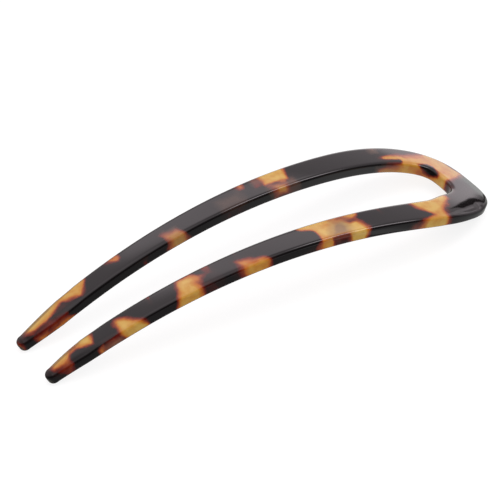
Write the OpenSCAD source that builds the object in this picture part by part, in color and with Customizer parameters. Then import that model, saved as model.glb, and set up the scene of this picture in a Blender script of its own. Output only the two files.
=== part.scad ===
// A U-shaped hair pin cut from one sheet and bent into an arch.
// It rests on its two tips and on the end of its bow. The bow points to +X, and Z = 0 is the surface.
// The flat shape is worked out first: u runs from the tips to the end of the bow, and v runs across.
// The arch then bends u round a cylinder that lies along Y.

/* [Sheet] */
// Length of the pin from the tips to the end of the bow, measured along the arch
pin_len = 115; // [85:1:150]
// Thickness of the sheet
thick = 2.8; // [2:0.1:4]
// Radius that rounds every edge
edge_r = 0.9; // [0.4:0.1:0.9]
// Angle between the directions of the two ends, which sets how high the pin arches
arch_angle = 51; // [20:1:80]

/* [Legs] */
// Distance between the centre lines of the legs at the tips
tip_pitch = 11.4; // [9:0.1:20]
// Distance between the same centre lines, carried on to the end of the bow
bow_pitch = 26.8; // [20:0.1:40]
// Width of a leg, carried on to its tip as if it didn't narrow there
leg_w_tip = 4.7; // [3.8:0.1:7]
// Width of a leg, carried on to the end of the bow
leg_w_bow = 8; // [5:0.1:11]

/* [Tips] */
// Length over which each leg narrows to its tip
nose_len = 10; // [5:0.5:25]
// Exponent of that narrowing: 1 is a straight taper, and more keeps the leg full for longer
nose_n = 1.4; // [1:0.1:3]
// Radius of the round end of each tip, seen from above
tip_r = 1.5; // [1:0.1:1.8]
// How far each tip leans outwards from the line of its leg
tip_lean = 0.25; // [0:0.05:1]

/* [Bow] */
// Width of the bar across the end of the bow
bar_w = 7.9; // [5:0.1:12]
// Length of each outer corner, measured along the pin
outer_corner_len = 31; // [15:0.5:45]
// Exponent of the outer corners: 2 is an ellipse, and more is squarer
outer_corner_n = 3.2; // [2:0.1:5]
// Length of each inner corner, measured along the pin
inner_corner_len = 24.5; // [10:0.5:40]
// Exponent of the inner corners
inner_corner_n = 3.8; // [2:0.1:5]

/* [Hidden] */
tip_steps = 6;
nose_steps = 8;
leg_steps = 18;
corner_steps = 22;
edge_steps = 4;
OUTER = 1;
INNER = -1;
arch_r = pin_len / (arch_angle * PI / 180);
// The core is the flat shape less tip_r all round, so each tip of the core is a point
core_w_tip = leg_w_tip - 2 * tip_r;
core_w_bow = leg_w_bow - 2 * tip_r;

// Share of the nose still to come at u: 1 at the tip and 0 along the rest of the leg
function nose(u) = max(0, 1 - (u - tip_r) / (nose_len - tip_r));

// Distance of a leg's centre line from the middle of the pin
function leg_centre(u) =
    (tip_pitch + (bow_pitch - tip_pitch) * u / pin_len) / 2 + tip_lean * pow(nose(u), 2);

// Width of a leg's core
function leg_core_w(u) =
    (core_w_tip + (core_w_bow - core_w_tip) * u / pin_len) * (1 - pow(nose(u), nose_n));

// Distance of the core's outer or inner side from the middle of the pin
function side_v(u, side) = leg_centre(u) + side * leg_core_w(u) / 2;

// Slope of that side where the leg meets the bow
function side_slope(side) =
    (bow_pitch - tip_pitch + side * (core_w_bow - core_w_tip)) / 2 / pin_len;

// Where a corner of the bow starts, its length in the core, and its exponent
function corner_u(side) =
    side == OUTER ? pin_len - outer_corner_len : pin_len - bar_w - inner_corner_len;
function corner_len(side) =
    side == OUTER ? outer_corner_len - tip_r : inner_corner_len + tip_r;
function corner_n(side) = side == OUTER ? outer_corner_n : inner_corner_n;

// A corner is a quarter of a superellipse, into which the leg's slope fades
function corner_point(angle, side) =
    let (
        n = corner_n(side),
        rho = pow(pow(cos(angle), n) + pow(sin(angle), n), -1 / n),
        along = sin(angle) * rho,
        across = cos(angle) * rho,
        start = corner_u(side),
        run = corner_len(side) * along
    )
    [start + run, (side_v(start, side) + side_slope(side) * run * (1 - along)) * across];

// One side of the core, from the tip to the middle of the bow
function core_side(side) = concat(
    [for (i = [0:nose_steps - 1])
        let (u = tip_r + (nose_len - tip_r) * i / nose_steps)
        [u, side_v(u, side)]],
    [for (i = [0:leg_steps - 1])
        let (u = nose_len + (corner_u(side) - nose_len) * i / leg_steps)
        [u, side_v(u, side)]],
    [for (i = [0:corner_steps]) corner_point(90 * i / corner_steps, side)]
);

// Direction that points out of the solid, square to the way from a to b
function outward(a, b, side) =
    let (d = (b - a) / norm(b - a))
    side * [-d[1], d[0]];

// Each row is a point of the core, and the direction in which the solid's edge lies from it
function rim_rows(side) =
    let (
        core = core_side(side),
        last = len(core) - 1,
        first_way = outward(core[0], core[1], side),
        turn = atan2(side * first_way[1], first_way[0])
    )
    concat(
        [for (i = [0:tip_steps - 1])
            let (angle = 180 + (turn - 180) * i / tip_steps)
            [core[0], [cos(angle), side * sin(angle)]]],
        [[core[0], first_way]],
        [for (i = [1:last - 1]) [core[i], outward(core[i - 1], core[i + 1], side)]],
        [[core[last], [side, 0]]]
    );

function mirrored(row) = [[row[0][0], -row[0][1]], [row[1][0], -row[1][1]]];

// The whole rim in one loop: out along one leg, round the bow, back to the other tip, and inside back
function rim_loop() =
    let (outer = rim_rows(OUTER), inner = rim_rows(INNER), last = len(outer) - 1)
    concat(
        outer,
        [for (i = [last - 1:-1:0]) mirrored(outer[i])],
        [for (i = [1:last]) mirrored(inner[i])],
        [for (i = [last - 1:-1:1]) inner[i]]
    );

// Layers of the edge from the underside to the top: [distance out of the core, height in the sheet]
function edge_layers() =
    let (flat = tip_r - edge_r, level = thick / 2 - edge_r)
    concat(
        [for (i = [0:edge_steps])
            let (a = -90 + 90 * i / edge_steps)
            [flat + edge_r * cos(a), -level + edge_r * sin(a)]],
        [for (i = [0:edge_steps])
            let (a = 90 * i / edge_steps)
            [flat + edge_r * cos(a), level + edge_r * sin(a)]]
    );

// Bends a flat point [u, v] at a height in the sheet round the arch
function arched(p, height) =
    let (angle = (p[0] - pin_len / 2) / arch_r * 180 / PI)
    [(arch_r + height) * sin(angle), p[1], (arch_r + height) * cos(angle)];

module hair_pin() {
    rim = rim_loop();
    layers = edge_layers();
    count = len(rim);
    top = (len(layers) - 1) * count;
    raw = [for (layer = layers, row = rim) arched(row[0] + layer[0] * row[1], layer[1])];
    low_z = min([for (p = raw) p[2]]);
    points = [for (p = raw) p - [0, 0, low_z]];
    // The edge: a band of quads between each layer and the next
    bands = [for (k = [0:len(layers) - 2], i = [0:count - 1])
        let (a = k * count, j = (i + 1) % count)
        [a + i, a + j, a + count + j, a + count + i]];
    // The flats: each row on the outer side is joined to its partner on the inner side
    strips = [for (i = [1:count / 2 - 2]) [count - i, count - i - 1, i + 1, i]];
    ends = [[count - 1, 1, 0], [count / 2 + 1, count / 2, count / 2 - 1]];
    under = concat(strips, ends);
    over = [for (face = under) [for (i = [len(face) - 1:-1:0]) face[i] + top]];
    color([0.23, 0.11, 0.05])
        polyhedron(points = points, faces = concat(bands, under, over), convexity = 6);
}

hair_pin();
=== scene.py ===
"""Dresses a one-piece U-shaped hair pin in polished tortoiseshell acetate, on a pale studio floor.

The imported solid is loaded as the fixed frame. The pin is then modelled again by hand, to the same
sizes and in the same place, with finely rounded edges and slightly crowned faces, and stands for it.
"""

import logging
import math
from dataclasses import dataclass
from enum import Enum

import bmesh
import bpy
from bpy.types import Material, Node, NodeSocket, NodeTree, Object
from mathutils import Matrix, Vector


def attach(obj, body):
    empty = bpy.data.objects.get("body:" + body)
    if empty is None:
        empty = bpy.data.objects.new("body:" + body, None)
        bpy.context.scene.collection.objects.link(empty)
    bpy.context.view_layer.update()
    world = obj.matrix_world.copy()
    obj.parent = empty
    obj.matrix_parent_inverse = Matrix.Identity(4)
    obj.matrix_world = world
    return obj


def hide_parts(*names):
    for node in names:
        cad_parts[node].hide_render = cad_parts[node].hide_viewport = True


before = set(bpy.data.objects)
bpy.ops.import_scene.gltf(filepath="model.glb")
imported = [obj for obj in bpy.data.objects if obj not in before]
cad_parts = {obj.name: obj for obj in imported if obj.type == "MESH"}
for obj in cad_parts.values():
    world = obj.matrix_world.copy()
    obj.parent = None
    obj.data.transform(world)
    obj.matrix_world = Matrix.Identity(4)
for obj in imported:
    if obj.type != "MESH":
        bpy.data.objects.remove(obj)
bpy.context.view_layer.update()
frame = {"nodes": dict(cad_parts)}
log = logging.getLogger("hair_pin")
MM = 0.001


class Side(Enum):
    """Which side of a leg an edge is on, as the sign of its distance from the leg's middle."""

    OUTER = 1
    INNER = -1


class Tone(Enum):
    """How far a shard's colour has gone from the black ground to clear honey."""

    BLACK = 0.0
    UMBER = 0.16
    RED = 0.27
    RUST = 0.4
    ORANGE = 0.55
    AMBER = 0.78
    HONEY = 0.95


BLACK, UMBER, RED, RUST, ORANGE, AMBER, HONEY = Tone


@dataclass(frozen=True)
class Rung:
    """A straight row across the sheet, from its outer border to its inner one, in metres."""

    outer: Vector
    inner: Vector

    @property
    def middle(self) -> Vector:
        """The point halfway along the rung."""
        return (self.outer + self.inner) / 2

    @property
    def length(self) -> float:
        """The distance between the two borders."""
        return (self.inner - self.outer).length

    @property
    def heading(self) -> float:
        """The angle of the way from the outer border to the inner one."""
        way = self.inner - self.outer
        return math.atan2(way.y, way.x)


@dataclass(frozen=True)
class FlatShape:
    """The pin's flat shape before it is arched, in metres: u runs from the tips to the bow, v across."""

    pin_len: float = 115 * MM
    thick: float = 2.8 * MM
    edge_r: float = 0.9 * MM
    edge_run: float = 1.4 * MM
    arch_angle: float = math.radians(51)
    tip_pitch: float = 11.4 * MM
    bow_pitch: float = 26.8 * MM
    leg_w_tip: float = 4.7 * MM
    leg_w_bow: float = 8 * MM
    nose_len: float = 10 * MM
    nose_n: float = 1.4
    tip_r: float = 1.5 * MM
    tip_lean: float = 0.25 * MM
    bar_w: float = 7.9 * MM
    outer_corner_len: float = 31 * MM
    outer_corner_n: float = 3.2
    inner_corner_len: float = 24.5 * MM
    inner_corner_n: float = 3.8
    nose_steps: int = 14
    leg_steps: int = 44
    corner_steps: int = 46
    tip_steps: int = 5
    cap_half: float = math.radians(48)

    @property
    def arch_r(self) -> float:
        """The arch's radius at the middle of the sheet."""
        return self.pin_len / self.arch_angle

    def nose(self, u: float) -> float:
        """Gives the share of the nose still to come at u: 1 at the tip and 0 along the rest."""
        return max(0.0, 1 - (u - self.tip_r) / (self.nose_len - self.tip_r))

    def leg_centre(self, u: float) -> float:
        """Gives the distance of a leg's centre line from the middle of the pin at u."""
        pitch = self.tip_pitch + (self.bow_pitch - self.tip_pitch) * u / self.pin_len
        return pitch / 2 + self.tip_lean * self.nose(u) ** 2

    def core_width(self, u: float) -> float:
        """Gives the width of a leg's core at u, which is the leg less tip_r all round."""
        full = self.leg_w_tip + (self.leg_w_bow - self.leg_w_tip) * u / self.pin_len
        return (full - 2 * self.tip_r) * (1 - self.nose(u) ** self.nose_n)

    def side_v(self, u: float, side: Side) -> float:
        """Gives the distance of the core's outer or inner side from the middle of the pin at u."""
        return self.leg_centre(u) + side.value * self.core_width(u) / 2

    def corner_point(self, angle: float, side: Side) -> Vector:
        """Gives a point of the bow's corner, a quarter of a superellipse that the leg fades into.

        Args:
            angle: Zero where the corner leaves the leg, and a quarter turn at the bow's middle.
            side: The outer or the inner corner.

        Returns:
            The point of the core, in metres.
        """
        outer = side is Side.OUTER
        power = self.outer_corner_n if outer else self.inner_corner_n
        start = self.pin_len - (self.outer_corner_len if outer else self.bar_w + self.inner_corner_len)
        length = self.outer_corner_len - self.tip_r if outer else self.inner_corner_len + self.tip_r
        cosine = max(math.cos(angle), 0.0)
        rho = (cosine**power + math.sin(angle) ** power) ** (-1 / power)
        along = math.sin(angle) * rho
        spread = self.leg_w_bow - self.leg_w_tip
        slope = (self.bow_pitch - self.tip_pitch + side.value * spread) / 2 / self.pin_len
        run = length * along
        v = (self.side_v(start, side) + slope * run * (1 - along)) * cosine * rho
        return Vector((start + run, v, 0))

    def core(self, side: Side) -> list[Vector]:
        """Gives one side of the core, from the tip to the middle of the bow.

        Args:
            side: The outer or the inner side.

        Returns:
            The points of the core, in metres.
        """
        corner = [
            self.corner_point(math.radians(90) * step / self.corner_steps, side)
            for step in range(self.corner_steps + 1)
        ]
        nose = [
            self.tip_r + (self.nose_len - self.tip_r) * step / self.nose_steps
            for step in range(self.nose_steps)
        ]
        leg = [
            self.nose_len + (corner[0].x - self.nose_len) * step / self.leg_steps
            for step in range(self.leg_steps)
        ]
        return [Vector((u, self.side_v(u, side), 0)) for u in nose + leg] + corner

    def outward(self, core: list[Vector], index: int, side: Side) -> Vector:
        """Gives the direction out of the solid at one point of the core.

        Args:
            core: The points of that side of the core.
            index: Which of them.
            side: The outer or the inner side.

        Returns:
            A unit vector in the plane of the sheet.
        """
        if index == len(core) - 1:
            return Vector((side.value, 0, 0))
        way = (core[index + 1] - core[max(index - 1, 0)]).normalized()
        return side.value * Vector((-way.y, way.x, 0))

    def outside(self, place: Vector, side: Side) -> float:
        """Gives how far a place lies outside one side of the core.

        Args:
            place: The place on the flat pin, with the pin's middle at the origin.
            side: The outer or the inner side.

        Returns:
            The distance, in metres.
        """
        core = self.core(side)
        spot = Vector((place.x + self.pin_len / 2, abs(place.y), 0))
        index = min(range(len(core)), key=lambda number: (core[number] - spot).length_squared)
        if index == 0:
            return (spot - core[0]).length
        return (spot - core[index]).dot(self.outward(core, index, side))

    def rungs(self) -> list[Rung]:
        """Gives the rows of the flat face, from the middle of the bow to the round end of a tip.

        Returns:
            The rungs, whose ends lie on the border between the flat face and the rounded edge.
        """
        out = self.tip_r - self.edge_run
        cores = {side: self.core(side) for side in Side}
        rows = []
        for index in range(len(cores[Side.OUTER]) - 1, -1, -1):
            ends = [core[index] + out * self.outward(core, index, side) for side, core in cores.items()]
            rows.append(Rung(*ends))
        for step in range(1, self.tip_steps):
            ends = []
            for side, core in cores.items():
                first = self.outward(core, 0, side)
                start = math.atan2(abs(first.y), -first.x)
                angle = start + (self.cap_half - start) * step / self.tip_steps
                ends.append(self.tip_point(side.value * angle))
            rows.append(Rung(*ends))
        return rows

    def tip_point(self, angle: float) -> Vector:
        """Gives a point of the flat face's round end, at an angle from the way the tip points."""
        centre = Vector((self.tip_r, self.side_v(self.tip_r, Side.OUTER), 0))
        return centre + (self.tip_r - self.edge_run) * Vector((-math.cos(angle), math.sin(angle), 0))


class HandMade:
    """A piece that is modelled by hand, and the few steps in edit mode that it takes."""

    piece: Object

    def pick(self, wanted: set[int]) -> None:
        """Selects some vertices, and nothing else.

        Args:
            wanted: Their indices.
        """
        mesh = bmesh.from_edit_mesh(self.piece.data)
        bpy.ops.mesh.select_all(action="DESELECT")
        for vert in mesh.verts:
            vert.select = vert.index in wanted
        mesh.select_flush_mode()
        bmesh.update_edit_mesh(self.piece.data)

    def verts(self, picked: bool = False) -> list[tuple[int, Vector]]:
        """Gives the index and place of every vertex, or of the selected ones."""
        mesh = bmesh.from_edit_mesh(self.piece.data)
        mesh.verts.index_update()
        return [(vert.index, vert.co.copy()) for vert in mesh.verts if vert.select or not picked]

    def turn(self, angle: float, axis: str, centre: Vector) -> None:
        """Turns the selection. With no window the operator turns the other way, so the sign changes."""
        bpy.ops.transform.rotate(value=-angle, orient_axis=axis, center_override=centre)

    def nudge(self, way: tuple[float, float, float], reach: float, falloff: str) -> None:
        """Moves the selection, and with it what is joined to it nearby, less and less.

        Args:
            way: The move, in metres.
            reach: How far away the selection still takes other vertices with it, in metres.
            falloff: How the move gives way to none.
        """
        bpy.ops.transform.translate(
            value=way,
            use_proportional_edit=True,
            proportional_edit_falloff=falloff,
            proportional_size=reach,
            use_proportional_connected=True,
        )

    def finish(self, kind: str, **settings: object) -> None:
        """Adds a modifier and applies it.

        Args:
            kind: Its kind.
            **settings: Its settings.
        """
        bpy.ops.object.modifier_add(type=kind)
        modifier = self.piece.modifiers[-1]
        for name, value in settings.items():
            setattr(modifier, name, value)
        bpy.ops.object.modifier_apply(modifier=modifier.name)


@dataclass(frozen=True)
class Ease:
    """A stretch of the near border that is moved by hand, in millimetres."""

    side: Side
    stretch: tuple[float, float]
    shift: tuple[float, float, float]
    reach: float


@dataclass(frozen=True)
class Rub:
    """One pass of the polishing wheel, in millimetres: where it lowers the rim, and how far in it works."""

    start: float
    end: float
    reach: float


@dataclass(frozen=True)
class Softening:
    """A rim that is rubbed down by hand.

    Its values are the sides it is on, how far across it reaches in millimetres, the share of the drop
    that the lower face takes, and the passes.
    """

    sides: tuple[Side, ...]
    across: float
    under: float
    rubs: tuple[Rub, ...]


@dataclass
class HairPin(HandMade):
    """The pin itself: a sheet that is cut, rounded along its whole edge, polished and arched."""

    shape: FlatShape
    columns: int = 8
    edge_steps: int = 10
    edge_power: float = 3.0
    crown_slope: float = math.tan(math.radians(1.0))
    eases: tuple[Ease, ...] = (
        Ease(Side.INNER, (101.7, 107.6), (-0.33, 0.92, 0), 6.6),
        Ease(Side.OUTER, (103, 112), (0.05, -0.3, 0), 7),
    )
    softenings: tuple[Softening, ...] = (
        Softening(
            (Side.OUTER,),
            -7,
            0.25,
            (
                Rub(95.5, 109, 1.3),
                Rub(96, 109, 1.5),
                Rub(99.5, 108.7, 2.2),
                Rub(102, 108.4, 2.9),
                Rub(103.5, 108.2, 3.1),
            ),
        ),
        Softening((Side.OUTER, Side.INNER), 20, 0.5, (Rub(-1, 15, 1), Rub(1.5, 10, 1))),
    )
    rim_start: float = 0.55 * MM
    rub_drop: float = 0.1 * MM
    near: float = 0.02 * MM
    weld: float = 0.001 * MM
    lift: float = 0.0

    def build(self) -> Object:
        """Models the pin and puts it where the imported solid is.

        Returns:
            The finished piece, with its origin at the world's.
        """
        bpy.ops.object.select_all(action="DESELECT")
        rungs = self.shape.rungs()
        self.lay_first_row(rungs[0])
        self.piece.name = "acetate_hair_pin"
        bpy.ops.object.mode_set(mode="EDIT")
        self.run_down_leg(rungs)
        self.round_off_tip()
        bpy.ops.object.mode_set(mode="OBJECT")
        self.finish("MIRROR", use_axis=(False, True, False), merge_threshold=self.weld)
        bpy.ops.object.mode_set(mode="EDIT")
        self.ease_borders()
        border = self.thicken()
        self.round_edge(border)
        for softening in self.softenings:
            self.rub_down(softening)
        self.arch()
        self.polish()
        return self.piece

    def lay_first_row(self, rung: Rung) -> None:
        """Adds a strip across the middle of the bow, with its far side on the pin's middle line.

        Args:
            rung: The row that the strip starts with.
        """
        size = rung.length
        place = rung.middle - Vector((self.shape.pin_len / 2, 0, 0))
        bpy.ops.mesh.primitive_grid_add(
            x_subdivisions=self.columns, y_subdivisions=1, size=size, location=place
        )
        bpy.ops.object.transform_apply(location=True)
        self.piece = bpy.context.object
        bpy.ops.object.mode_set(mode="EDIT")
        bpy.ops.transform.translate(value=(0, size / 2, 0))
        self.crown(size)
        bpy.ops.object.mode_set(mode="OBJECT")

    def crown(self, width: float) -> None:
        """Raises the columns between the borders, so that the face is slightly crowned.

        Args:
            width: The strip's width, in metres.
        """
        verts = self.verts()
        start = min(place.x for _, place in verts)
        for column in range(1, self.columns):
            share = column / self.columns
            self.pick({index for index, place in verts if abs(place.x - start - share * width) < self.near})
            height = self.crown_slope * width * share * (1 - share)
            bpy.ops.transform.translate(value=(0, 0, height))

    def run_down_leg(self, rungs: list[Rung]) -> None:
        """Extrudes the strip's free row along the flat shape, round the corner and down to the tip.

        Args:
            rungs: The rows, of which the first is already there.
        """
        middle = Vector((self.shape.pin_len / 2, 0, 0))
        size = rungs[0].length
        self.pick({index for index, place in self.verts() if place.y > size / 2})
        bpy.ops.transform.translate(value=(0, -size, 0))
        for number, (old, new) in enumerate(zip(rungs, rungs[1:])):
            if number:
                bpy.ops.mesh.extrude_region_move(TRANSFORM_OT_translate={"value": (0, 0, 0)})
            centre = old.middle - middle
            self.turn(new.heading - old.heading, "Z", centre)
            scale = new.length / old.length
            bpy.ops.transform.resize(value=(scale, scale, scale), center_override=centre)
            bpy.ops.transform.translate(value=new.middle - old.middle)

    def round_off_tip(self) -> None:
        """Extrudes the last row once more and moves its vertices onto the round end of the tip."""
        middle = Vector((self.shape.pin_len / 2, 0, 0))
        bpy.ops.mesh.extrude_region_move(TRANSFORM_OT_translate={"value": (0, 0, 0)})
        row = sorted(self.verts(picked=True), key=lambda entry: -entry[1].y)
        for number, (index, place) in enumerate(row):
            angle = self.shape.cap_half * (1 - 2 * number / self.columns)
            self.pick({index})
            bpy.ops.transform.translate(value=self.shape.tip_point(angle) - middle - place)

    def ease_borders(self) -> None:
        """Moves stretches of the near border of the bow, which was filed less than the far one."""
        verts = self.verts()
        for ease, wanted in [(ease, self.stretch(verts, ease)) for ease in self.eases]:
            self.pick(wanted)
            self.nudge(tuple(way * MM for way in ease.shift), ease.reach * MM, "SMOOTH")

    def stretch(self, verts: list[tuple[int, Vector]], ease: Ease) -> set[int]:
        """Finds the vertices on one stretch of the near border.

        Args:
            verts: The index and place of every vertex.
            ease: The stretch.

        Returns:
            The indices of its vertices.
        """
        middle = Vector((self.shape.pin_len / 2, 0, 0))
        start, end = (u * MM for u in ease.stretch)
        ends = [rung.outer if ease.side is Side.OUTER else rung.inner for rung in self.shape.rungs()]
        places = [border - middle for border in ends if start < border.x < end]
        return {
            index
            for index, place in verts
            if any((Vector((spot.x, -spot.y)) - place.xy).length < self.near for spot in places)
        }

    def thicken(self) -> float:
        """Extrudes the sheet to its thickness, with its lower face crowned downwards.

        Returns:
            The height of the upper face's border above the middle of the sheet.
        """
        crown = max(place.z for _, place in self.verts())
        border = self.shape.thick / 2 - crown
        bpy.ops.mesh.select_all(action="SELECT")
        bpy.ops.transform.translate(value=(0, 0, -border))
        lower = {index for index, _ in self.verts()}
        bpy.ops.mesh.extrude_region_move(TRANSFORM_OT_translate={"value": (0, 0, 2 * border)})
        raised = {index for index, place in self.verts() if place.z < 0}
        log.info("sheet has %d vertices a face, border %.3f mm", len(lower), border / MM)
        self.pick(raised)
        bpy.ops.transform.resize(value=(1, 1, -1), center_override=(0, 0, -border))
        bpy.ops.mesh.select_all(action="SELECT")
        bpy.ops.mesh.normals_make_consistent(inside=False)
        return border

    def edge_place(self, layer: int) -> tuple[float, float]:
        """Gives the place of one layer of the rounded edge.

        Args:
            layer: Its number, from the flat's border down.

        Returns:
            How far it lies out from that border, and how far below it, in metres.
        """
        angle = math.radians(90) * (1 - layer / self.edge_steps)
        power = 2 / self.edge_power
        out = max(math.cos(angle), 0.0) ** power
        return self.shape.edge_run * out, self.shape.edge_r * (1 - max(math.sin(angle), 0.0) ** power)

    def round_edge(self, border: float) -> None:
        """Cuts the wall into layers and pushes them out to the rounded edge, layer by layer.

        Args:
            border: The height of the upper face's border above the middle of the sheet.
        """
        mesh = bmesh.from_edit_mesh(self.piece.data)
        bpy.ops.mesh.select_all(action="DESELECT")
        bpy.ops.mesh.select_mode(type="EDGE")
        for edge in mesh.edges:
            low, high = sorted(vert.co.z for vert in edge.verts)
            edge.select = low < 0 < high
        bmesh.update_edit_mesh(self.piece.data)
        cuts = 2 * self.edge_steps
        bpy.ops.mesh.subdivide(number_cuts=cuts)
        bpy.ops.mesh.select_mode(type="VERT")
        step = 2 * border / (cuts + 1)
        layers = [
            {index for index, place in self.verts() if abs(place.z - border + step * layer) < self.near}
            for layer in range(cuts + 2)
        ]
        pushed = 0.0
        for layer in range(1, self.edge_steps + 1):
            out, _ = self.edge_place(layer)
            self.pick(set().union(*layers[layer : cuts + 2 - layer]))
            bpy.ops.transform.shrink_fatten(value=out - pushed)
            pushed = out
        for layer in range(1, self.edge_steps + 1):
            _, below = self.edge_place(layer)
            scale = (border - below) / (border - step * layer)
            self.pick(layers[layer] | layers[cuts + 1 - layer])
            bpy.ops.transform.resize(value=(1, 1, scale), center_override=(0, 0, 0))

    def rub_down(self, softening: Softening) -> None:
        """Lowers a rim bit by bit, and what lies near it less and less.

        Each face is worked with the other one hidden, so that only its own half of the sheet gives way.

        Args:
            softening: The rim, and how it is rubbed.
        """
        middle = self.shape.pin_len / 2
        start = min(rub.start for rub in softening.rubs) * MM
        end = max(rub.end for rub in softening.rubs) * MM
        rim = [
            (index, place)
            for index, place in self.verts()
            if start < place.x + middle < end
            and place.y < softening.across * MM
            and max(self.shape.outside(place, side) for side in softening.sides) > self.rim_start
        ]
        for face, share in ((1, 1.0), (-1, softening.under)):
            self.pick({index for index, place in self.verts() if place.z * face < 0})
            bpy.ops.mesh.hide(unselected=False)
            half = [(index, place.x + middle) for index, place in rim if place.z * face > 0]
            for rub in softening.rubs:
                self.pick({index for index, u in half if rub.start * MM < u < rub.end * MM})
                self.nudge((0, 0, -face * share * self.rub_drop), rub.reach * MM, "SHARP")
            bpy.ops.mesh.reveal(select=False)

    def arch(self) -> None:
        """Bends the pin round its arch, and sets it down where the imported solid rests.

        The bend works in the plane of X and Y, so the sheet is stood on edge for it.
        """
        bpy.ops.mesh.select_all(action="SELECT")
        self.turn(math.radians(-90), "X", Vector())
        bpy.ops.object.mode_set(mode="OBJECT")
        self.finish("SIMPLE_DEFORM", deform_method="BEND", deform_axis="Z", angle=-self.shape.arch_angle)
        bpy.ops.object.mode_set(mode="EDIT")
        bpy.ops.mesh.select_all(action="SELECT")
        self.turn(math.radians(90), "X", Vector())
        self.lift = -min(place.z for _, place in self.verts())
        bpy.ops.transform.translate(value=(0, 0, self.lift))
        bpy.ops.mesh.normals_make_consistent(inside=False)
        bpy.ops.object.mode_set(mode="OBJECT")

    def polish(self) -> None:
        """Shades the pin smooth, with the normals led by its larger faces."""
        bpy.ops.object.shade_smooth()
        self.finish("WEIGHTED_NORMAL", mode="FACE_AREA", weight=50)

    def dress(self, material: Material) -> None:
        """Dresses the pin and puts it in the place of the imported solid.

        Args:
            material: What it is made of.
        """
        self.piece.data.materials.clear()
        self.piece.data.materials.append(material)
        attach(self.piece, "root")
        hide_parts("hair_pin")


@dataclass(frozen=True)
class Shard:
    """One flake of colour in the sheet.

    Its corners are places on the flat shape in millimetres, in order round a convex outline: from the
    tips, and across. A flake slants through the sheet, so it goes on down the front of each leg.
    """

    tone: Tone
    soft: float
    corners: tuple[tuple[float, float], ...]


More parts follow.
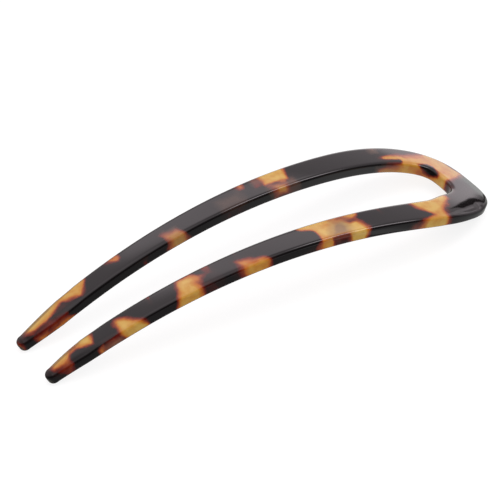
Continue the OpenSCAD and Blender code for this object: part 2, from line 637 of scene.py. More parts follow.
NEAR_LEG = (
    Shard(UMBER, 1.6, ((0.4, -3), (0.6, -6.4), (3.4, -6.6), (3.4, -3))),
    Shard(RED, 1.4, ((1.8, -6.9), (2.8, -9), (6.2, -8.9), (6.4, -6.6))),
    Shard(RUST, 1.5, ((3.8, -8), (3.8, -13.5), (5.8, -13.5), (5.7, -8))),
    Shard(HONEY, 1.3, ((1.7, -4), (2.5, -6.3), (4, -7), (5.4, -7.2), (6.2, -6.3), (7.8, -5.2), (8, -4))),
    Shard(ORANGE, 1.2, ((6.6, -3.5), (6.8, -5.9), (9.8, -5.9), (9.8, -3.5))),
    Shard(HONEY, 1.3, ((8.9, -3.5), (9.2, -5.7), (10.5, -6.9), (11.5, -7.3), (12.3, -5.6), (12.5, -3.5))),
    Shard(RED, 1.3, ((13.4, -8.8), (13.8, -10.6), (18, -10.6), (18, -8.8))),
    Shard(RUST, 1.4, ((12.8, -10.2), (12.8, -13.5), (17.6, -13.5), (17, -10.4))),
    Shard(ORANGE, 0.9, ((11.5, -9.7), (11.5, -13), (12.7, -13), (12.8, -9.6))),
    Shard(HONEY, 1.3, ((17.9, -5.5), (15.4, -8.2), (16.3, -9.6), (17.4, -12), (17.4, -14), (24, -14),
          (23, -11.4), (21.9, -9.2), (18.7, -5.8))),
    Shard(RED, 1, ((25, -4), (26, -6.8), (27.4, -4))),
    Shard(ORANGE, 1.5, ((35.4, -6.3), (38.6, -7.9), (37.8, -8.6), (36, -9.8))),
    Shard(HONEY, 1.5, ((33, -5.9), (29.9, -12.4), (29.9, -15), (36.8, -15), (36.8, -9.3), (35.7, -6.2))),
    Shard(RED, 1.6, ((38.2, -4.5), (38.5, -8.3), (40.2, -8.7), (40.8, -4.5))),
    Shard(UMBER, 2.8, ((36, -9), (36, -16), (41, -16), (40.5, -9.8))),
    Shard(RED, 2.6, ((45.4, -9.3), (44, -12), (44.4, -16), (48, -16), (48, -9.3))),
    Shard(RUST, 1.6, ((45.4, -8.7), (45.4, -16), (52.2, -16), (52.2, -12.6), (51.4, -10.9))),
    Shard(AMBER, 1.6, ((46.2, -10), (46.4, -16), (51.4, -16), (51.4, -12.7), (50.8, -11.7))),
    Shard(RED, 1.2, ((45.6, -4.6), (46.4, -7.4), (47.6, -4.6))),
    Shard(HONEY, 1.3, ((60.8, -5.5), (61.6, -7.7), (64.6, -9.3), (68, -9.9), (73.6, -9.7), (75.4, -9),
          (76.2, -7.8), (76.2, -5.5))),
    Shard(HONEY, 1.1, ((64.3, -8.6), (64.4, -13.4), (72.4, -13.4), (72.4, -9))),
    Shard(UMBER, 2.4, ((64.8, -13.4), (60.4, -15), (60.4, -19), (64.8, -19))),
    Shard(AMBER, 1.9, ((64.3, -12.4), (63.7, -15), (63.2, -19), (67.8, -19), (67, -13.4), (66.3, -12.4))),
    Shard(HONEY, 1.8, ((72, -9.6), (70.4, -13.4), (71.2, -18), (75, -18), (75.4, -13), (74.6, -10))),
    Shard(RUST, 1.3, ((69, -7.3), (70.2, -9), (72.8, -9.6), (73.6, -8.9), (72.8, -7.3))),
    Shard(RED, 1.2, ((72.1, -9.4), (72.6, -10.7), (74.9, -10.3), (74.4, -9.3))),
    Shard(UMBER, 1.6, ((67, -14), (67.6, -19), (71, -19), (70.6, -14))),
    Shard(RED, 1.1, ((66.6, -13.4), (67.2, -14.8), (70.6, -14.8), (70.2, -13.4))),
    Shard(RED, 1.1, ((80.2, -6.5), (81.3, -9.9), (82.4, -6.5))),
    Shard(RED, 1.6, ((88.8, -14.4), (87.6, -16.2), (91.4, -16.2), (92.4, -14.4))),
    Shard(RED, 2, ((86.4, -16), (85.6, -19), (90.2, -19), (90.2, -16))),
    Shard(RED, 2, ((94.6, -11), (94.6, -13.8), (97.8, -14.2), (98.2, -11))),
    Shard(HONEY, 1.7, ((89.6, -6.5), (90.4, -10.5), (92.6, -13.4), (93.8, -13.9), (98.8, -10.2),
          (101.2, -8.3), (101.2, -6.5))),
    Shard(HONEY, 1.8, ((89.3, -19), (89.4, -16.6), (90.2, -15.5), (92.8, -13.9), (95, -12.7), (95.5, -12.9),
          (96.4, -15), (96.3, -19))),
)
FAR_LEG = (
    Shard(RUST, 1.3, ((-1, 2), (-1, 7.4), (0.5, 7.4), (0.8, 6), (1.1, 4.4), (0.7, 2))),
    Shard(UMBER, 1.4, ((0.8, 4.6), (0.8, 8), (3.4, 8), (3.8, 5))),
    Shard(RED, 1.3, ((3.8, 5.1), (4.2, 0.5), (12.6, 0.5), (12.4, 4.4), (9, 5.3))),
    Shard(RUST, 1.6, ((4, 2.8), (4.2, 0.5), (9, 0.5), (8.6, 2.6))),
    Shard(ORANGE, 1.5, ((4, 3.3), (4.2, 0.5), (6, 0.5), (6.4, 3.2))),
    Shard(AMBER, 1.2, ((8.2, 0.5), (8.6, 2), (10.4, 2.3), (12.6, 2.4), (13.6, 1.8), (13.6, 0.5))),
    Shard(UMBER, 2, ((8.8, 4.9), (9, 6.4), (13.2, 7.8), (14.8, 6), (13.6, 5.2))),
    Shard(HONEY, 1.3, ((2.6, 7.3), (3.5, 6.1), (4.8, 5.4), (7.8, 5.4), (10.6, 6.6), (13.2, 7.6), (13.4, 12),
          (2.6, 12))),
    Shard(HONEY, 1.3, ((12.4, 7.5), (15.2, 6.2), (16.6, 5.5), (17.9, 6.9), (19.6, 9.4), (19.6, 12),
          (12.4, 12))),
    Shard(ORANGE, 1.5, ((24.4, 9.6), (25.6, 8.6), (27.3, 7.9), (28.1, 8.8), (28, 12), (24.4, 12))),
    Shard(RED, 1.2, ((31.2, 4.2), (31.2, 1.8), (32.4, 1.8), (32.2, 4.2))),
    Shard(RED, 2.2, ((38.4, 8.5), (37.7, 6.6), (38.4, 1.5), (43.4, 1.5), (42.4, 6.2), (41.8, 8.5))),
    Shard(AMBER, 1.9, ((38.3, 7.4), (38.3, 6), (38.7, 1.5), (42.7, 1.5), (41.9, 6.2), (41.2, 7.4))),
    Shard(UMBER, 3, ((52.4, 6.6), (52.2, 3.2), (57.2, 3.6), (57.4, 6.6))),
    Shard(RED, 1.8, ((57.8, 13.6), (58.6, 10.3), (60.2, 10.3), (61.4, 13.6))),
    Shard(ORANGE, 1.3, ((58.6, 13.6), (59.1, 11), (60, 11), (60.8, 13.6))),
    Shard(RED, 2.4, ((62, 9.4), (65, 9.2), (65, 14), (62.4, 14))),
    Shard(UMBER, 2.2, ((64.7, 3), (72.4, 3), (71.8, 10.2), (64.7, 10.2))),
    Shard(AMBER, 2, ((66, 8.2), (66.4, 5.6), (68.6, 5.6), (68.8, 8.2))),
    Shard(HONEY, 1.3, ((64.6, 14), (64.7, 9.6), (70.2, 9.4), (71.1, 11.4), (71.8, 14))),
    Shard(ORANGE, 1.4, ((93.2, 13.1), (96.4, 13.1), (97, 16), (92.6, 16))),
)
BOW = (
    Shard(AMBER, 2, ((95.4, 9.2), (96.6, 10.9), (101, 12.6), (106, 13.6), (112.2, 12.6), (114.4, 9),
          (115, 6), (115, 1.8), (110.6, 0.2), (108.8, -0.8), (107, -1))),
    Shard(AMBER, 1.2, ((94.3, 6.2), (95.6, 6.6), (102, 6.4), (108.2, 1), (104, -2), (94.3, 1))),
    Shard(BLACK, 3, ((90, 12), (96, 11.3), (101.8, 10.6), (104.5, 10.4), (107.9, 10.9), (110.2, 12.4),
          (110.2, 18), (90, 18))),
    Shard(BLACK, 0.8, ((111.6, 8.8), (112.6, 6.4), (113.2, 3.5), (113.4, 1.2), (118, 1.2), (118, 14),
          (113, 14))),
    Shard(BLACK, 0.9, ((90, 5.9), (95.4, 6.9), (100.7, 6.7), (100.8, 9), (95.6, 9.5), (90, 9.7))),
    Shard(RED, 1.2, ((96, 7.3), (100.3, 7), (100.3, 8.3), (96, 8.7))),
    Shard(ORANGE, 1.3, ((102.4, 6.2), (104.4, 5.9), (104.6, 3), (103.2, 3.6))),
    Shard(BLACK, 1.3, ((103.4, 6.7), (104.7, 6.8), (106.8, 6.6), (107.8, 5.6), (107.5, 3.2), (106.5, 2.2),
          (105.2, 2.2), (104.5, 3.2), (104.4, 5))),
    Shard(UMBER, 1.5, ((107.5, -0.9), (108.5, -1.6), (107.2, -3.9), (104.5, -7), (102.5, -7), (105, -0.9))),
)
SMOKE = (
    Shard(AMBER, 3, ((69.6, -8.4), (66.4, -13.2), (71, -13.6), (72.6, -9.2))),
    Shard(RUST, 2, ((65.1, 6.2), (71.8, 6.2), (71.4, 9.2), (64.9, 9.2))),
    Shard(RED, 2, ((65.1, 3), (72, 3), (71.8, 6.6), (64.9, 6.6))),
    Shard(RUST, 2, ((62.2, 10.8), (64.7, 10.6), (64.7, 14), (62.2, 14))),
    Shard(RED, 2.4, ((52.4, 10), (52.4, 6.8), (58.4, 6.8), (57.8, 10))),
    Shard(RUST, 1.6, ((38.6, 8.5), (37.9, 6.4), (38.6, 1.5), (43.3, 1.5), (42.2, 6.2), (41.4, 8.5))),
    Shard(AMBER, 1.4, ((13.2, -10.4), (13.2, -13.5), (17.4, -13.5), (17, -10.6))),
    Shard(RUST, 1.8, ((86.8, -16.4), (86.2, -19), (89.4, -19), (89.6, -16.4))),
    Shard(AMBER, 1.6, ((95.6, 12.9), (96.6, 12.9), (98.4, 16), (95.6, 16))),
    Shard(RUST, 1.6, ((93.6, 6.8), (99.4, 6.8), (99, 4), (93.6, 4))),
)


@dataclass(frozen=True)
class Grain:
    """A noise pattern: its scale and detail, its shift away from the others, and its stretch each way."""

    scale: float
    detail: float
    shift: float
    stretch: tuple[float, float, float] = (1, 1, 1)
    slant: tuple[float, float, float] = (1, 0.7, 1.3)

    @property
    def offset(self) -> tuple[float, ...]:
        """The shift as a vector, at a slant so that it follows no axis."""
        return tuple(self.shift * share for share in self.slant)


class Wiring:
    """Adds nodes to a tree and joins them, one kind of node a method."""

    def __init__(self, tree: NodeTree) -> None:
        """Takes up a node tree."""
        self.tree = tree

    def feed(self, socket: NodeSocket, source: object) -> None:
        """Gives a socket its source.

        Args:
            socket: The input.
            source: Another socket, or a plain value.
        """
        if isinstance(source, NodeSocket):
            self.tree.links.new(source, socket)
        else:
            socket.default_value = source

    def fill(self, node: Node, sources: dict[str | int, object]) -> None:
        """Gives each named or numbered input of a node its source."""
        for key, source in sources.items():
            self.feed(node.inputs[key], source)

    def add(self, kind: str, sources: dict[str | int, object] | None = None, **settings: object) -> Node:
        """Adds a node.

        Args:
            kind: Its kind.
            sources: The source of each input, by name or number.
            **settings: Its settings.

        Returns:
            The node.
        """
        node = self.tree.nodes.new(kind)
        for name, value in settings.items():
            setattr(node, name, value)
        self.fill(node, sources or {})
        return node

    def math(self, operation: str, *sources: object, clamp: bool = False) -> NodeSocket:
        """Works out one number from up to three, and may keep it between 0 and 1."""
        inputs = dict(enumerate(sources))
        return self.add("ShaderNodeMath", inputs, operation=operation, use_clamp=clamp).outputs[0]

    def vector(self, operation: str, *sources: object) -> NodeSocket:
        """Works out one vector, or a number for a dot product."""
        node = self.add("ShaderNodeVectorMath", dict(enumerate(sources)), operation=operation)
        return node.outputs["Value" if operation == "DOT_PRODUCT" else "Vector"]

    def noise(self, place: NodeSocket, grain: Grain) -> Node:
        """Adds a noise texture.

        Args:
            place: Where it is read.
            grain: The grain of the noise.

        Returns:
            Its node.
        """
        place = self.vector("MULTIPLY", place, grain.stretch)
        moved = self.vector("ADD", place, grain.offset)
        inputs = {"Vector": moved, "Scale": grain.scale, "Detail": grain.detail}
        return self.add("ShaderNodeTexNoise", inputs)

    def ease(self, value: NodeSocket, start: object, end: object) -> NodeSocket:
        """Goes smoothly from 0, where the value is at its start, to 1, where it is at its end."""
        inputs = {"Value": value, "From Min": start, "From Max": end}
        return self.add("ShaderNodeMapRange", inputs, interpolation_type="SMOOTHSTEP").outputs["Result"]

    def blend(self, share: object, low: object, high: object) -> NodeSocket:
        """Goes from one number to another by a share."""
        inputs = {0: share, 2: low, 3: high}
        return self.add("ShaderNodeMix", inputs, data_type="FLOAT", clamp_factor=True).outputs[0]

    def tint(self, share: object, low: object, high: object) -> NodeSocket:
        """Goes from one colour to another by a share."""
        inputs = {0: share, 6: low, 7: high}
        return self.add("ShaderNodeMix", inputs, data_type="RGBA", clamp_factor=True).outputs[2]


def new_group(name: str, inputs: dict[str, str], outputs: dict[str, str]) -> Wiring:
    """Starts a node group with named sockets.

    Args:
        name: The group's name.
        inputs: The kind of each input, by name.
        outputs: The kind of each output, by name.

    Returns:
        Its wiring.
    """
    group = bpy.data.node_groups.new(name, "ShaderNodeTree")
    for sockets, way in ((inputs, "INPUT"), (outputs, "OUTPUT")):
        for label, kind in sockets.items():
            group.interface.new_socket(label, in_out=way, socket_type=f"NodeSocket{kind}")
    return Wiring(group)


@dataclass(frozen=True)
class Tortoiseshell:
    """Polished acetate with slanting shards of amber in a near-black ground, and a painted shade that
    darkens its outlines where the surface turns away from the camera.
    """

    shape: FlatShape
    lift: float
    charts: tuple[tuple[Shard, ...], ...] = (NEAR_LEG, FAR_LEG, BOW)
    veils: tuple[Shard, ...] = SMOKE
    smoke: tuple[float, float, float] = (0.165, 0.09, 0.06)
    ramp: tuple[tuple[float, tuple[float, float, float]], ...] = (
        (0.0, (0.0045, 0.0035, 0.0038)),
        (0.14, (0.013, 0.0045, 0.004)),
        (0.27, (0.1, 0.0065, 0.003)),
        (0.4, (0.22, 0.036, 0.008)),
        (0.55, (0.43, 0.12, 0.014)),
        (0.78, (0.5, 0.235, 0.035)),
        (1.0, (0.56, 0.35, 0.08)),
    )
    roughness: float = 0.05
    wear: float = 0.12
    roll_height: float = 0.02 * MM
    mark_share: float = 0.04
    ior: float = 1.47
    # Painted rim shade: rim is the dark olive that the colour is mixed towards where the surface turns away
    # from the camera. The mix starts at a smaller facing towards the tips, so the dark rim reaches further
    # in there.
    rim: tuple[float, float, float] = (0.033, 0.029, 0.018)
    rim_shade_depth: float = 0.9
    rim_start: tuple[float, float] = (0.0024, 0.36)
    rim_shade_span: float = 0.25
    bar_turn: tuple[float, float] = (98.0, 107.0)
    corner_round: float = 0.5
    border: float = 0.5
    clear_border: float = 0.62
    heart: float = 0.26
    heart_depth: float = 1.3
    sways: tuple[tuple[Grain, float], ...] = ((Grain(0.45, 1, 4.5), 0.5), (Grain(1.6, 1, 16), 0.22))
    fog: Grain = Grain(0.3, 1, 53)
    fog_edge: tuple[float, float] = (0.35, 0.65)
    crispness: tuple[float, float] = (0.65, 1.5)
    mottle: Grain = Grain(0.35, 3, 31)
    mottle_swing: float = 0.9
    rolls: Grain = Grain(0.22, 0, 7, (0.6, 1, 1))
    marks: Grain = Grain(0.8, 3, 3, (0.25, 6, 6))
    rubbed: Grain = Grain(0.3, 3, 17)

    def flat_place(self) -> NodeTree:
        """Builds the node group that takes a point of the arched pin back to the flat sheet.

        Returns:
            The group: it puts out the flat place in millimetres, with the depth below the upper face
            as its third number, and the place of the slanting pattern.
        """
        wiring = new_group("flat_place", {"Point": "Vector"}, {"Place": "Vector", "Pattern": "Vector"})
        point = wiring.add("NodeGroupInput").outputs["Point"]
        radius = self.shape.arch_r
        centred = wiring.vector("ADD", point, (0, 0, radius - self.lift))
        x, y, z = wiring.add("ShaderNodeSeparateXYZ", {0: centred}).outputs
        middle = self.shape.pin_len / 2 / MM
        u = wiring.math("MULTIPLY_ADD", wiring.math("ARCTAN2", x, z), radius / MM, middle)
        v = wiring.math("DIVIDE", y, MM)
        square = wiring.math("MULTIPLY_ADD", z, z, wiring.math("MULTIPLY", x, x))
        reach = wiring.math("DIVIDE", wiring.math("SQRT", square), -MM)
        depth = wiring.math("ADD", reach, (radius + self.shape.thick / 2) / MM)
        place = wiring.add("ShaderNodeCombineXYZ", {0: u, 1: v, 2: depth})
        back = wiring.math("MULTIPLY", depth, wiring.ease(u, *self.bar_turn))
        across = wiring.math("SUBTRACT", v, wiring.math("SUBTRACT", depth, back))
        pattern = wiring.add("ShaderNodeCombineXYZ", {0: wiring.math("SUBTRACT", u, back), 1: across})
        wiring.add("NodeGroupOutput", {"Place": place.outputs[0], "Pattern": pattern.outputs[0]})
        return wiring.tree

    def lay_shard(
        self, wiring: Wiring, place: NodeSocket, crisp: NodeSocket, shard: Shard
    ) -> NodeSocket:
        """Works out how far a place lies inside one shard.

        Args:
            wiring: The pattern's node tree.
            place: The place in the pattern, in millimetres.
            crisp: How many times crisper than usual the borders are there.
            shard: The shard.

        Returns:
            The share of its colour there: 0 outside, 1 inside, and between the two along its border.
        """
        inside = None
        corners = [Vector((*corner, 0)) for corner in shard.corners]
        centre = sum(corners, Vector()) / len(corners)
        for first, second in zip(corners, corners[1:] + corners[:1]):
            way = (second - first).normalized()
            inward = Vector((-way.y, way.x, 0))
            if inward.dot(centre - first) < 0:
                inward = -inward
            reach = wiring.vector("DOT_PRODUCT", place, tuple(inward))
            reach = wiring.math("SUBTRACT", reach, inward.dot(first))
            if inside is not None:
                reach = wiring.math("SMOOTH_MIN", inside, reach, self.corner_round)
            inside = reach
        steep = wiring.math("DIVIDE", crisp, shard.soft)
        clear = shard.tone.value >= AMBER.value
        border = self.clear_border if clear else self.border
        share = wiring.math("MULTIPLY_ADD", inside, steep, border, clamp=True)
        if not clear:
            return share
        heart = wiring.ease(inside, 0.0, self.heart_depth)
        heart = wiring.math("MULTIPLY_ADD", heart, self.heart, 1 - self.heart)
        return wiring.math("MULTIPLY", share, heart)

    def overlay(
        self, wiring: Wiring, place: NodeSocket, crisp: NodeSocket, shards: list[Shard]
    ) -> NodeSocket:
        """Lays shards over each other in order.

        Args:
            wiring: The pattern's node tree.
            place: The place in the pattern, in millimetres.
            crisp: How many times crisper than usual the borders are there.
            shards: The shards, the lowest first.

        Returns:
            The tone there.
        """
        tone: object = 0.0
        for shard in shards:
            tone = wiring.blend(self.lay_shard(wiring, place, crisp, shard), tone, shard.tone.value)
        return tone

    def pattern(self) -> NodeTree:
        """Builds the node group of the shards.

        Returns:
            The group: it takes the two places and puts out the colour.
        """
        places = {"Place": "Vector", "Pattern": "Vector"}
        wiring = new_group("tortoiseshell_pattern", places, {"Color": "Color"})
        start = wiring.add("NodeGroupInput")
        flat = start.outputs["Place"]
        place = start.outputs["Pattern"]
        for grain, reach in self.sways:
            sway = wiring.vector("SUBTRACT", wiring.noise(flat, grain).outputs["Color"], (0.5, 0.5, 0.5))
            sway = wiring.vector("MULTIPLY", sway, (reach, reach, 0))
            place = wiring.vector("ADD", place, sway)
        fog = wiring.ease(wiring.noise(flat, self.fog).outputs["Fac"], *self.fog_edge)
        crisp = wiring.blend(fog, *self.crispness)
        tone = self.overlay(wiring, place, crisp, [shard for chart in self.charts for shard in chart])
        mottle = wiring.math("SUBTRACT", wiring.noise(flat, self.mottle).outputs["Fac"], 0.5)
        tone = wiring.math("MULTIPLY_ADD", wiring.math("MULTIPLY", mottle, tone), self.mottle_swing, tone)
        veil = self.overlay(wiring, place, crisp, self.veils)
        ramp = wiring.add("ShaderNodeValToRGB")
        stops = ramp.color_ramp.elements
        while len(stops) < len(self.ramp):
            stops.new(0.5)
        for stop, (position, colour) in zip(stops, self.ramp):
            stop.position = position
            stop.color = (*colour, 1)
        wiring.feed(ramp.inputs["Fac"], tone)
        wiring.add("NodeGroupOutput", {"Color": wiring.tint(veil, ramp.outputs["Color"], (*self.smoke, 1))})
        return wiring.tree

    def polish(self) -> NodeTree:
        """Builds the node group of the polished surface: it rolls gently, and is finely worn lengthwise.

        Returns:
            The group: it takes the flat place and puts out the roughness and the normal.
        """
        wiring = new_group("hand_polish", {"Place": "Vector"}, {"Roughness": "Float", "Normal": "Vector"})
        place = wiring.add("NodeGroupInput").outputs["Place"]
        grains = (self.rolls, self.marks, self.rubbed)
        rolls, marks, rubbed = (wiring.noise(place, grain).outputs["Fac"] for grain in grains)
        height = wiring.math("MULTIPLY_ADD", marks, self.mark_share, rolls)
        bumps = {"Strength": 1.0, "Distance": self.roll_height, "Height": height}
        bump = wiring.add("ShaderNodeBump", bumps)
        wear = wiring.math("MULTIPLY", rubbed, marks)
        roughness = wiring.math("MULTIPLY_ADD", wear, self.wear, self.roughness)
        wiring.add("NodeGroupOutput", {"Roughness": roughness, "Normal": bump.outputs["Normal"]})
        return wiring.tree

    def material(self) -> Material:
        """Builds the finish, with a painted shade along the outlines.

        Returns:
            The material.
        """
        material = bpy.data.materials.new("tortoiseshell_acetate")
        material.use_nodes = True
        wiring = Wiring(material.node_tree)
        shader = material.node_tree.nodes["Principled BSDF"]
        shader.inputs["IOR"].default_value = self.ior
        point = wiring.add("ShaderNodeTexCoord").outputs["Object"]
        flat = wiring.add("ShaderNodeGroup", node_tree=self.flat_place())
        wiring.feed(flat.inputs["Point"], point)
        place = flat.outputs["Place"]
        shards = wiring.add("ShaderNodeGroup", node_tree=self.pattern())
        wiring.fill(shards, {"Place": place, "Pattern": flat.outputs["Pattern"]})
        polish = wiring.add("ShaderNodeGroup", node_tree=self.polish())
        wiring.feed(polish.inputs["Place"], place)
        # Painted rim shade: by the Layer Weight facing, the colour is darkened to the rim colour along the
        # outlines, reaching further in towards the tips.
        start = wiring.math("MULTIPLY_ADD", wiring.vector("DOT_PRODUCT", place, (1, 0, 0)), *self.rim_start)
        glance = wiring.add("ShaderNodeLayerWeight").outputs["Facing"]
        share = wiring.ease(glance, start, wiring.math("ADD", start, self.rim_shade_span))
        rim_shade_share = wiring.math("MULTIPLY", share, self.rim_shade_depth)
        colour = wiring.tint(rim_shade_share, shards.outputs["Color"], (*self.rim, 1))
        wiring.feed(shader.inputs["Base Color"], colour)
        for name in ("Roughness", "Normal"):
            wiring.feed(shader.inputs[name], polish.outputs[name])
        return material


@dataclass(frozen=True)
class SoftLight:
    """A large studio light that faces the pin, too far out of its mirror directions to show in it."""

    name: str
    bearing: float
    elevation: float
    distance: float
    size: float
    power: float

    def place(self) -> None:
        """Adds the light."""
        lamp = bpy.data.lights.new(self.name, "AREA")
        lamp.shape = "DISK"
        lamp.size = self.size
        lamp.energy = self.power
        light = bpy.data.objects.new(self.name, lamp)
        bpy.context.scene.collection.objects.link(light)
        way = heading(self.bearing, self.elevation)
        light.location = way * self.distance
        light.rotation_euler = way.to_track_quat("Z", "Y").to_euler()
        light.visible_camera = False
        light.visible_glossy = False


@dataclass(frozen=True)
class Glow:
    """A soft patch of light in the room: full inside one angle, and gone outside another."""

    bearing: float
    elevation: float
    full: float
    gone: float
    radiance: float

    def share(self, wiring: Wiring, way: NodeSocket) -> NodeSocket:
        """Works out how much of the patch shows in a direction.

        Args:
            wiring: The room's node tree.
            way: The direction.

        Returns:
            The share of its light.
        """
        facing = wiring.vector("DOT_PRODUCT", way, tuple(heading(self.bearing, self.elevation)))
        low, high = (math.cos(math.radians(angle)) for angle in (self.gone, self.full))
        return wiring.ease(facing, low, high)


@dataclass(frozen=True)
class Panel:
    """A soft-edged box of light: its half width and half height, and how far its edges fade, in degrees.

    Its front is every direction whose cosine to the panel's middle is above a least value.
    """

    bearing: float
    elevation: float
    half_width: float
    half_height: float
    fade: float
    radiance: float
    front: float = 0.1

    def share(self, wiring: Wiring, way: NodeSocket) -> NodeSocket:
        """Works out how much of the panel shows in a direction.

        Args:
            wiring: The room's node tree.
            way: The direction.

        Returns:
            The share of its light.
        """
        ahead = heading(self.bearing, self.elevation)
        right = heading(self.bearing + 90, 0)
        facing = wiring.vector("DOT_PRODUCT", way, tuple(ahead))
        share = wiring.math("GREATER_THAN", facing, self.front)
        for axis, half in ((right, self.half_width), (right.cross(ahead), self.half_height)):
            offset = wiring.math("DIVIDE", wiring.vector("DOT_PRODUCT", way, tuple(axis)), facing)
            inner, outer = (math.tan(math.radians(half + side * self.fade)) for side in (-1, 1))
            edge = wiring.ease(wiring.math("ABSOLUTE", offset), outer, inner)
            share = wiring.math("MULTIPLY", share, edge)
        return share


def heading(bearing: float, elevation: float) -> Vector:
    """Gives the unit vector at a bearing from +Y towards +X and at an elevation, both in degrees."""
    turn, tilt = math.radians(bearing), math.radians(elevation)
    return Vector((math.sin(turn) * math.cos(tilt), math.cos(turn) * math.cos(tilt), math.sin(tilt)))


@dataclass(frozen=True)
class Paper:
    """The pale paper under the pin, which glows a little as a light table does.

    The pin mirrors it brighter on the far side, and with a narrow shade that points away from the bow.
    """

    size: float = 6.0
    grey: float = 0.18
    glow: float = 0.86
    far_bearing: float = 60
    far_edge: tuple[float, float] = (-0.02, 0.12)
    mirrored_glow: tuple[float, float] = (0.22, 1.6)
    bow: tuple[float, float, float] = (0.05, -0.01, 0)
    shade_bearing: float = 146
    shade_edges: tuple[tuple[float, float], ...] = ((-0.06, -0.03), (0.02, 0.06))
    shade: float = 0.1
    beyond_edge: tuple[float, float] = (0.1, 0.3)
    beyond_glow: tuple[float, float] = (0.75, 0.4)

    def lay(self) -> None:
        """Lays the paper on the floor."""
        bpy.ops.object.select_all(action="DESELECT")
        bpy.ops.mesh.primitive_plane_add(size=self.size)
        floor = bpy.context.object
        floor.name = "studio_floor"
        material = bpy.data.materials.new("pale_paper")
        material.use_nodes = True
        wiring = Wiring(material.node_tree)
        shader = material.node_tree.nodes["Principled BSDF"]
        shader.inputs["Base Color"].default_value = (self.grey, self.grey, self.grey, 1)
        shader.inputs["Roughness"].default_value = 1.0
        shader.inputs["Specular IOR Level"].default_value = 0.0
        shader.inputs["Emission Color"].default_value = (1, 1, 1, 1)
        shader.inputs["Emission Strength"].default_value = self.glow
        path = wiring.add("ShaderNodeLightPath")
        mirrored = wiring.add("ShaderNodeEmission", {"Strength": self.mirrored(wiring)})
        sources = {0: path.outputs["Is Glossy Ray"], 1: shader.outputs[0], 2: mirrored.outputs[0]}
        mix = wiring.add("ShaderNodeMixShader", sources)
        wiring.feed(material.node_tree.nodes["Material Output"].inputs["Surface"], mix.outputs[0])
        floor.data.materials.append(material)

    def mirrored(self, wiring: Wiring) -> NodeSocket:
        """Works out how bright the paper is where the pin mirrors it.

        Args:
            wiring: The paper's node tree.

        Returns:
            The brightness.
        """
        point = wiring.add("ShaderNodeTexCoord").outputs["Object"]
        far = wiring.vector("DOT_PRODUCT", point, tuple(heading(self.far_bearing, 0)))
        bright = wiring.blend(wiring.ease(far, *self.far_edge), *self.mirrored_glow)
        out = wiring.vector("NORMALIZE", wiring.vector("SUBTRACT", point, self.bow))
        past = wiring.vector("DOT_PRODUCT", out, tuple(heading(self.shade_bearing, 0)))
        enters, leaves = (wiring.ease(past, *edge) for edge in self.shade_edges)
        beyond = wiring.blend(wiring.ease(past, *self.beyond_edge), *self.beyond_glow)
        return wiring.blend(leaves, wiring.blend(enters, bright, self.shade), beyond)


@dataclass(frozen=True)
class Viewpoint:
    """Where the photograph was taken from, and its frame, in degrees, metres and pixels."""

    bearing: float = 33.213
    elevation: float = 38.877
    distance: float = 0.4725
    sensor: float = 36.0
    frame: float = 500.0
    focal_pixels: float = 2200.0
    centre: tuple[float, float] = (261.4, 273.3)
    clip_start: float = 0.01

    def set_camera(self) -> None:
        """Sets up the camera there, and looks at the middle of the pin."""
        back = -heading(self.bearing, -self.elevation)
        camera = bpy.data.cameras.new("camera")
        camera.sensor_width = self.sensor
        camera.lens = self.sensor * self.focal_pixels / self.frame
        camera.clip_start = self.clip_start
        camera.shift_x = (self.frame / 2 - self.centre[0]) / self.frame
        camera.shift_y = (self.centre[1] - self.frame / 2) / self.frame
        holder = bpy.data.objects.new("camera", camera)
        bpy.context.scene.collection.objects.link(holder)
        holder.location = back * self.distance
        holder.rotation_euler = back.to_track_quat("Z", "Y").to_euler()
        bpy.context.scene.camera = holder
        bpy.context.scene.view_settings.view_transform = "Standard"


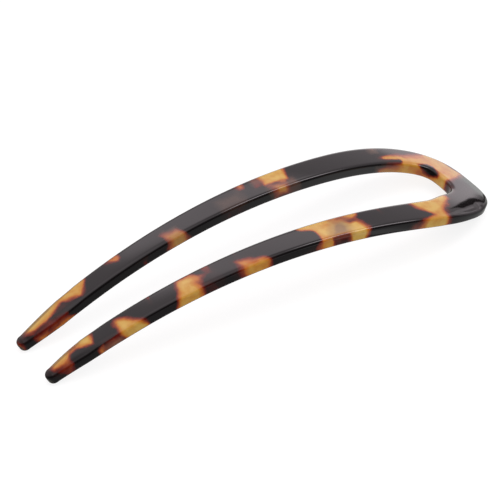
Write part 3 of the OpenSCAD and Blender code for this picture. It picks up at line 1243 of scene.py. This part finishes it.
@dataclass(frozen=True)
class Studio:
    """The pale paper, the soft light of the room and the camera."""

    paper: Paper = Paper()
    viewpoint: Viewpoint = Viewpoint()
    room: float = 0.06
    backdrop: float = 0.95
    lights: tuple[SoftLight, ...] = (SoftLight("fill", 200, 70, 1.5, 1.8, 16.0),)
    glows: tuple[Glow | Panel, ...] = (
        Glow(25, 25, 50, 95, 0.68),
        Panel(28, 40, 17, 8.5, 3.5, 1.05),
        Glow(-5, 52, 10, 28, 0.35),
        Glow(10, 85, 10, 30, 0.6),
        Panel(92, 54, 8, 12, 3.0, 5.0),
        Panel(39, 4, 17, 5.5, 3.0, 0.85),
        Panel(67, 17, 4, 7, 2.0, 0.6),
    )
    flags: tuple[Panel, ...] = (Panel(56.0, 3, 3.4, 9, 0.4, 0.96),)
    tint: tuple[float, float, float, float] = (1.0, 0.91, 0.95, 1.0)

    def build(self) -> None:
        """Adds the paper, the light, the room and the camera."""
        self.paper.lay()
        for light in self.lights:
            light.place()
        self.surround()
        self.viewpoint.set_camera()

    def surround(self) -> None:
        """Gives the room its soft patches of light. The camera sees a plain pale backdrop."""
        world = bpy.data.worlds.new("studio_room")
        bpy.context.scene.world = world
        world.use_nodes = True
        wiring = Wiring(world.node_tree)
        way = wiring.add("ShaderNodeTexCoord").outputs["Generated"]
        light: object = self.room
        for glow in self.glows:
            light = wiring.math("MULTIPLY_ADD", glow.share(wiring, way), glow.radiance, light)
        for flag in self.flags:
            kept = wiring.math("MULTIPLY_ADD", flag.share(wiring, way), -flag.radiance, 1.0)
            light = wiring.math("MULTIPLY", light, kept)
        seen = wiring.add("ShaderNodeLightPath").outputs["Is Camera Ray"]
        room = world.node_tree.nodes["Background"]
        colour = wiring.tint(seen, self.tint, (1, 1, 1, 1))
        wiring.fill(room, {"Color": colour, "Strength": wiring.blend(seen, light, self.backdrop)})


def main() -> None:
    """Builds the pin and the studio, and reports each piece."""
    logging.basicConfig(level=logging.INFO, format="%(name)s: %(message)s")
    shape = FlatShape()
    pin = HairPin(shape)
    piece = pin.build()
    log.info("%s has %d faces", piece.name, len(piece.data.polygons))
    finish = Tortoiseshell(shape, pin.lift)
    pin.dress(finish.material())
    log.info("%s wears %s", piece.name, piece.data.materials[0].name)
    studio = Studio()
    studio.build()
    log.info("studio is set with %d lights", len(studio.lights))


if __name__ == "__main__":
    main()
